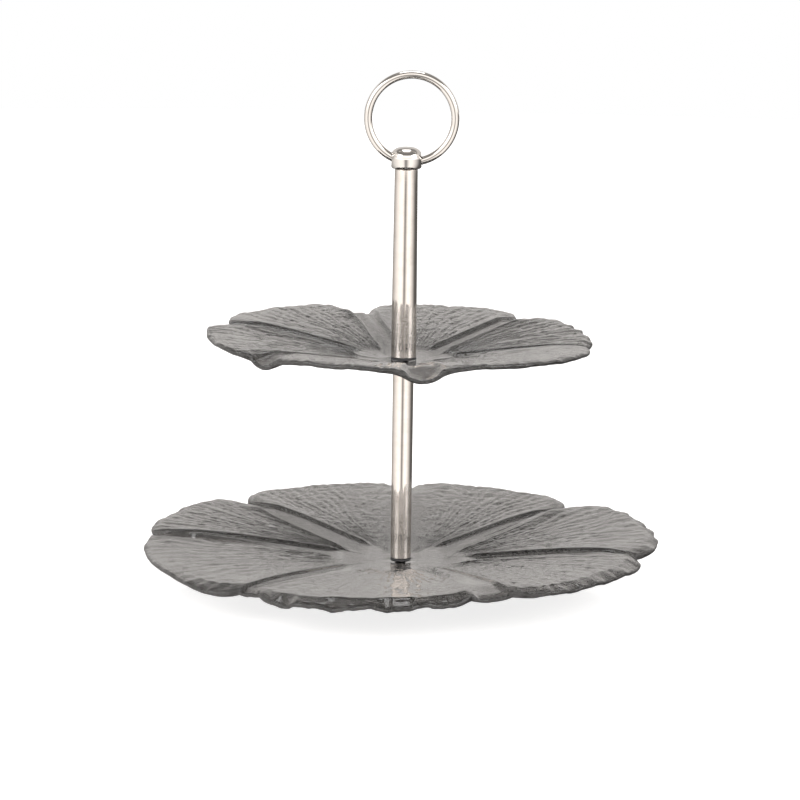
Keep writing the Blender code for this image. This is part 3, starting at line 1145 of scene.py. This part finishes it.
def joined(name: str, *meshes: bpy.types.Mesh) -> bpy.types.Mesh:
    """Join several closed meshes in one, all of one finish.

    Args:
        name: the result's name.
        meshes: the meshes to join.

    Returns:
        The joined mesh.
    """
    shape = bmesh.new()
    for mesh in meshes:
        shape.from_mesh(mesh)
    result = bpy.data.meshes.new(name)
    shape.to_mesh(result)
    shape.free()
    for face in result.polygons:
        face.material_index = 0
    return result


@dataclass
class Post:
    """The two tubes, the threaded bushes inside them and the stud between them."""

    wall: float = 1 * MM
    edge: float = 0.35 * MM
    thread: Thread = field(default_factory=Thread)

    def build(self) -> None:
        """Build every piece of the post."""
        self.tube("lower_post_tube", "lower_tube", 5.65 * MM, 5.65 * MM)
        self.tube("upper_post_tube", "upper_tube", 6.95 * MM, 6.2 * MM)
        for node in (
            "lower_tube_bottom_insert",
            "lower_tube_top_insert",
            "upper_tube_bottom_insert",
            "upper_tube_top_insert",
        ):
            self.bush(node)
        self.stud()

    def tube(self, name: str, node: str, foot_radius: float, top_radius: float) -> None:
        """Build a tube with softly rounded ends.

        Args:
            name: the piece's name.
            node: the CAD node that it stands for.
            foot_radius: outer radius at its foot.
            top_radius: outer radius at its top.
        """
        low, high = (corner.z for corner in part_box(node))
        outline = rounded(
            [
                (foot_radius - self.wall, low),
                (foot_radius, low),
                (top_radius, high),
                (top_radius - self.wall, high),
            ],
            self.edge,
        )
        mesh = turned_mesh(name, outline, 128)
        place_piece(name, mesh, POST_NICKEL, STAND, node)

    def bush(self, node: str) -> None:
        """Build a grooved bush with a plain bore sized for the thread.

        Args:
            node: the CAD node that it stands for.
        """
        (left, _, low), (right, _, high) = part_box(node)
        outer = (right - left) / 2
        bore = self.thread.radius + GAP
        groove = 0.35 * MM
        outline: list[tuple[float, float]] = [(bore, low), (outer, low)]
        for share in (0.2, 0.5, 0.8):
            middle = mix(low, high, share)
            outline += [(outer, middle - 2 * groove), (outer - groove, middle - groove)]
            outline += [(outer - groove, middle + groove), (outer, middle + 2 * groove)]
        outline += [(outer, high), (bore, high)]
        mesh = turned_mesh(node + "_bush", rounded(outline, 0.2 * MM, 2), 64)
        place_piece(node + "_bush", mesh, INSERT_STEEL, STAND, node)

    def stud(self) -> None:
        """Build the double-ended stud."""
        low, high = (corner.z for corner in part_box("middle_stud"))
        bevel = 0.8 * MM
        core, tip = self.thread.core, self.thread.core - 0.5 * bevel
        outline = [(0, low), (tip, low), (core, low + bevel), (core, high - bevel), (tip, high), (0, high)]
        body = turned_mesh("middle_stud_body", outline, 48)
        ridge = self.thread.ridge("middle_stud_ridge", low + bevel, high - bevel, INSERT_STEEL)
        mesh = joined("middle_stud_mesh", body, ridge)
        place_piece("middle_threaded_stud", mesh, INSERT_STEEL, STAND, "middle_stud")


@dataclass
class Seals:
    """Rubber gaskets and grommets that keep metal off the glass."""

    bore: float = 3.4 * MM
    edge: float = 0.25 * MM
    collar: float = 4.7 * MM
    flange: float = 1 * MM

    def build(self) -> None:
        """Build both gaskets and both grommets."""
        for node in ("lower_plate_gasket", "upper_plate_gasket"):
            (left, _, low), (right, _, high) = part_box(node)
            outer = (right - left) / 2
            outline = [(self.bore, low), (outer, low), (outer, high), (self.bore, high)]
            mesh = turned_mesh(node + "_ring", rounded(outline, self.edge), 96)
            place_piece(node + "_ring", mesh, RUBBER, STAND, node)
        for node in ("lower_plate_grommet", "upper_plate_grommet"):
            (left, _, low), (right, _, high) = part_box(node)
            outer = (right - left) / 2
            top = low + self.flange
            outline = [(self.bore, low), (outer, low), (outer, top), (self.collar, top)]
            outline += [(self.collar, high), (self.bore, high)]
            mesh = turned_mesh(node + "_ring", rounded(outline, self.edge), 96)
            place_piece(node + "_ring", mesh, RUBBER, STAND, node)


@dataclass
class BaseFastening:
    """The washer and the slotted pan-head screw under the lower plate."""

    bore: float = 3.4 * MM
    head_radius: float = 6 * MM
    head_height: float = 2.4 * MM
    slot_width: float = 1.4 * MM
    slot_depth: float = 1.1 * MM
    thread: Thread = field(default_factory=Thread)

    def build(self) -> None:
        """Build the washer and the screw."""
        (left, _, low), (right, _, high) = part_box("base_washer")
        outer = (right - left) / 2
        outline = [(self.bore, low), (outer, low), (outer, high), (self.bore, high)]
        mesh = turned_mesh("base_washer_disc", rounded(outline, 0.3 * MM), 96)
        place_piece("base_washer_disc", mesh, ZINC, STAND, "base_washer")
        self.screw()

    def screw(self) -> None:
        """Build the screw, head down."""
        crown, tip = (corner.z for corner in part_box("base_screw"))
        seat, bevel = crown + self.head_height, 0.8 * MM
        core = self.thread.core
        outline = [(0, tip), (core - 0.5 * bevel, tip), (core, tip - bevel), (core, seat)]
        outline += [(self.head_radius, seat)]
        for step in range(1, 9):
            turn = step / 8 * math.radians(70)
            radius = self.head_radius * (0.62 + 0.38 * math.cos(turn))
            outline.append((radius, seat - self.head_height * (0.3 + 0.7 * math.sin(turn)) / 0.958))
        outline.append((0, crown))
        body = turned_mesh("base_screw_body", outline, 64)
        shape = bmesh.new()
        bmesh.ops.create_cube(shape, size=1)
        size = Matrix.Diagonal((3 * self.head_radius, self.slot_width, 2 * self.slot_depth, 1))
        bmesh.ops.transform(shape, matrix=Matrix.Translation((0, 0, crown)) @ size, verts=shape.verts)
        cutter = bpy.data.meshes.new("driver_slot")
        shape.to_mesh(cutter)
        shape.free()
        slotted = cut_mesh("base_screw_slotted", body, cutter)
        ridge = self.thread.ridge("base_screw_ridge", seat + bevel, tip - bevel, ZINC)
        mesh = joined("base_screw_mesh", slotted, ridge)
        place_piece("base_pan_head_screw", mesh, ZINC, STAND, "base_screw")


@dataclass
class Handle:
    """The cross-drilled knob and the ring that swings in it."""

    knob_radius: float = 8.9 * MM
    knob_height: float = 11.7 * MM
    seat_radius: float = 6.7 * MM
    hole_radius: float = 3.75 * MM
    hole_height: float = 4.9 * MM
    ring_radius: float = 23.5 * MM
    wire_radius: float = 2.2 * MM
    thread: Thread = field(default_factory=Thread)

    def build(self) -> None:
        """Build the knob and the ring."""
        self.knob()
        self.ring()

    def knob_outline(self, seat: float, tip: float) -> list[tuple[float, float]]:
        """Outline of the knob from the tip of its stem to its crown.

        Args:
            seat: height of the face that meets the tube.
            tip: height of the stem's tip.

        Returns:
            (radius, height) corners.
        """
        bevel, core = 0.8 * MM, self.thread.core
        outline = [(0, tip), (core - 0.5 * bevel, tip), (core, tip + bevel), (core, seat)]
        widest = self.hole_height
        for step in range(17):
            turn = math.pi / 2 * (1 - step / 16)
            bulge = (self.knob_radius - self.seat_radius) * math.cos(turn) ** 0.75
            outline.append((self.seat_radius + bulge, seat + widest * (1 - math.sin(turn))))
        for step in range(1, 29):
            turn = step / 28 * math.pi / 2
            radius = self.knob_radius * math.cos(turn) ** 0.64 if step < 28 else 0
            outline.append((radius, seat + widest + (self.knob_height - widest) * math.sin(turn)))
        return outline

    def knob(self) -> None:
        """Build the knob with its flared cross hole along X."""
        tip, crown = (corner.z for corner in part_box("knob"))
        seat = crown - self.knob_height
        body = turned_mesh("knob_body", self.knob_outline(seat, tip), 128)
        reach, flare = 2 * self.knob_radius, 0.5 * MM
        half = self.knob_radius - flare
        bore, mouth = self.hole_radius, self.hole_radius + flare
        outline = [(0, -reach), (mouth, -reach), (mouth, -half - 0.4 * flare), (bore, -half + flare)]
        outline += [(bore, half - flare), (mouth, half + 0.4 * flare), (mouth, reach), (0, reach)]
        cutter = turned_mesh("cross_hole", outline, 64)
        turn = Matrix.Translation((0, 0, seat + self.hole_height)) @ Matrix.Rotation(math.pi / 2, 4, "Y")
        cutter.transform(turn)
        drilled = cut_mesh("knob_drilled", body, cutter)
        ridge = self.thread.ridge("knob_ridge", tip + 0.8 * MM, seat - 0.8 * MM, SHADED_HANDLE_NICKEL)
        place_piece("handle_knob", joined("handle_knob_mesh", drilled, ridge), SHADED_HANDLE_NICKEL, STAND, "knob")

    def ring(self) -> None:
        """Build the wire ring with a geometry tree."""
        (left, _, low), (right, _, high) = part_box("ring_handle")
        middle = ((left + right) / 2, 0.0, (low + high) / 2)
        sizes = {"Ring radius": self.ring_radius, "Wire radius": self.wire_radius}
        tree = Modifier("ring_wire", sizes)
        graph = tree.graph
        round_path = {"Resolution": 192, "Radius": tree.size("Ring radius")}
        path = graph.add("GeometryNodeCurvePrimitiveCircle", round_path)
        section = graph.add(
            "GeometryNodeCurvePrimitiveCircle", {"Resolution": 32, "Radius": tree.size("Wire radius")}
        )
        inputs = {"Curve": path.outputs[0], "Profile Curve": section.outputs[0]}
        wire = graph.add("GeometryNodeCurveToMesh", inputs)
        stand_up = {"Geometry": wire.outputs[0], "Rotation": (math.pi / 2, 0, 0), "Translation": middle}
        placed = graph.add("GeometryNodeTransform", stand_up)
        tree.finish_tree(placed.outputs[0])
        mesh = tree.bake("swing_ring_mesh", bpy.data.meshes.new("swing_ring_start"), SHADED_HANDLE_NICKEL)
        place_piece("swing_ring", mesh, SHADED_HANDLE_NICKEL, RING, "ring_handle")


@dataclass
class Studio:
    """Pale floor, soft lights, a pale surround with darker bands, and the camera."""

    floor_radius: float = 3.0
    eye: tuple = (0.0, -1.71, 0.407)
    focal_length: float = 142.9
    pitch: float = 10.127
    yaw: float = 0.053
    roll: float = 0.85
    warmth: tuple = (1.0, 0.96, 0.925)
    glow: float = 2.5
    # tone of the surround by the sine of its height, behind the object and in front of it
    behind: tuple = (
        (0, 0.28), (0.17, 0.28), (0.3, 0.37), (0.55, 0.37), (0.72, 0.15), (0.9, 0.16), (1, 0.4),
    )
    before: tuple = (
        (0, 0.6), (0.05, 0.85), (0.2, 0.85), (0.3, 0.45), (0.38, 0.9), (0.55, 0.8),
        (0.68, 0.12), (0.9, 0.14), (1, 0.4),
    )
    # tone below the horizon, by compass angle from the camera towards the right
    around: tuple = (
        (-180, 0.05), (-160, 0.08), (-145, 0.22), (-128, 0.27), (-108, 0.38), (-94, 0.5),
        (-80, 0.56), (-56, 0.68), (-35, 0.74), (-20, 0.64), (-12, 0.32), (-4, 0.15),
        (4, 0.28), (14, 0.55), (24, 0.73), (45, 0.71), (60, 0.56), (80, 0.33),
        (94, 0.16), (108, 0.06), (140, 0.06), (180, 0.05),
    )

    def build(self) -> None:
        """Build the whole studio."""
        bpy.context.scene.view_settings.view_transform = "Standard"
        self.world()
        self.floor()
        self.lights()
        self.camera()

    def ramp(self, graph: Graph, share: Socket, tones: Sequence[tuple[float, float]]) -> Socket:
        """Turn a share into a warm tone.

        Args:
            graph: the tree to add to.
            share: a socket from 0 to 1.
            tones: (share, tone) pairs in order.

        Returns:
            The colour's socket.
        """
        node = graph.add("ShaderNodeValToRGB", {0: share})
        points = node.color_ramp.elements
        while len(points) > 1:
            points.remove(points[-1])
        for index, (spot, tone) in enumerate(tones):
            point = points.new(spot) if index else points[0]
            point.position = spot
            point.color = rgba([tone * part for part in self.warmth])
        return node.outputs[0]

    def world(self) -> None:
        """Make a surround that is plain white to the camera and banded to everything else."""
        world = bpy.data.worlds.new("studio_world")
        bpy.context.scene.world = world
        world.use_nodes = True
        graph = Graph(world.node_tree)
        way = graph.add("ShaderNodeTexCoord", {}).outputs["Generated"]
        apart = graph.add("ShaderNodeSeparateXYZ", {0: way})
        rear = graph.spread(apart.outputs[1], -0.35, 0.35, 0, 1)
        height = apart.outputs[2]
        before = self.ramp(graph, height, self.before)
        above = graph.blend(rear, before, self.ramp(graph, height, self.behind))
        compass = graph.math("ARCTAN2", apart.outputs[0], graph.times(apart.outputs[1], -1.0))
        share = graph.spread(compass, -math.pi, math.pi, 0, 1)
        below = self.ramp(graph, share, [((angle + 180) / 360, tone) for angle, tone in self.around])
        lifted = graph.total(height, graph.times(rear, 0.07))
        tone = graph.blend(graph.spread(lifted, 0.03, 0.1, 0, 1), below, above)
        sky = graph.add("ShaderNodeBackground", {"Color": tone, "Strength": self.glow})
        plain = graph.add("ShaderNodeBackground", {"Color": (1, 1, 1, 1), "Strength": 1.0})
        seen = graph.add("ShaderNodeLightPath", {}).outputs["Is Camera Ray"]
        both = graph.add("ShaderNodeMixShader", {0: seen, 1: sky.outputs[0], 2: plain.outputs[0]})
        graph.add("ShaderNodeOutputWorld", {"Surface": both.outputs[0]})

    def floor(self) -> None:
        """Lay the pale floor, which polished metal sees through to the surround."""
        shape = bmesh.new()
        bmesh.ops.create_circle(shape, cap_ends=True, segments=96, radius=self.floor_radius)
        mesh = bpy.data.meshes.new("studio_floor")
        shape.to_mesh(mesh)
        shape.free()
        mesh.materials.append(self.paper())
        thing = bpy.data.objects.new("studio_floor", mesh)
        bpy.context.scene.collection.objects.link(thing)
        thing.location.z = -0.2 * MM
        thing.visible_glossy = False

    def paper(self) -> bpy.types.Material:
        """Make the floor's pale, faintly mirroring material."""
        material = bpy.data.materials.new("studio_paper")
        material.use_nodes = True
        graph = Graph(material.node_tree)
        place = graph.add("ShaderNodeTexCoord", {}).outputs["Object"]
        fibre = graph.noise(place, 300.0, 3.0)
        tone = graph.blend(fibre, (0.6, 0.6, 0.6, 1), (0.63, 0.63, 0.63, 1))
        inputs = {"Base Color": tone, "Roughness": 0.9, "Emission Color": (1, 1, 1, 1)}
        shader = graph.add("ShaderNodeBsdfPrincipled", inputs)
        shader.inputs["Emission Strength"].default_value = 0.85
        gloss = graph.add("ShaderNodeBsdfAnisotropic", {"Color": (1, 1, 1, 1), "Roughness": 0.05})
        both = graph.add("ShaderNodeMixShader", {0: 0.09, 1: shader.outputs[0], 2: gloss.outputs[0]})
        graph.add("ShaderNodeOutputMaterial", {"Surface": both.outputs[0]})
        return material

    def lights(self) -> None:
        """Hang a soft light on each side and one above."""
        for name, place, size, power in (
            ("left_soft_light", (-0.9, -0.7, 0.8), 0.7, 5.0),
            ("right_soft_light", (0.9, -0.5, 0.7), 0.6, 4.0),
            ("top_soft_light", (0.0, 0.15, 1.1), 0.5, 3.0),
        ):
            lamp = bpy.data.lights.new(name, "AREA")
            lamp.size, lamp.energy = size, power
            thing = bpy.data.objects.new(name, lamp)
            bpy.context.scene.collection.objects.link(thing)
            thing.location = place
            aim = Vector((0, 0, 0.12)) - Vector(place)
            thing.rotation_euler = aim.to_track_quat("-Z", "Y").to_euler()

    def camera(self) -> None:
        """Set up the camera, which looks slightly down and is rolled a little."""
        lens = bpy.data.cameras.new("camera")
        lens.lens, lens.sensor_width = self.focal_length, 36.0
        lens.clip_start, lens.clip_end = 0.05, 20.0
        camera = bpy.data.objects.new("camera", lens)
        bpy.context.scene.collection.objects.link(camera)
        turn = Matrix.Rotation(math.radians(self.yaw), 4, "Z")
        turn @= Matrix.Rotation(math.radians(90 - self.pitch), 4, "X")
        turn @= Matrix.Rotation(math.radians(self.roll), 4, "Z")
        camera.matrix_world = Matrix.Translation(self.eye) @ turn
        bpy.context.scene.camera = camera


def main() -> None:
    """Build the stand from the foot up, then the studio."""
    logging.basicConfig(level=logging.INFO, format="%(name)s: %(message)s")
    LOWER_PLATE.build()
    UPPER_PLATE.build()
    Post().build()
    Seals().build()
    BaseFastening().build()
    Handle().build()
    Studio().build()


if __name__ == "__main__":
    main()
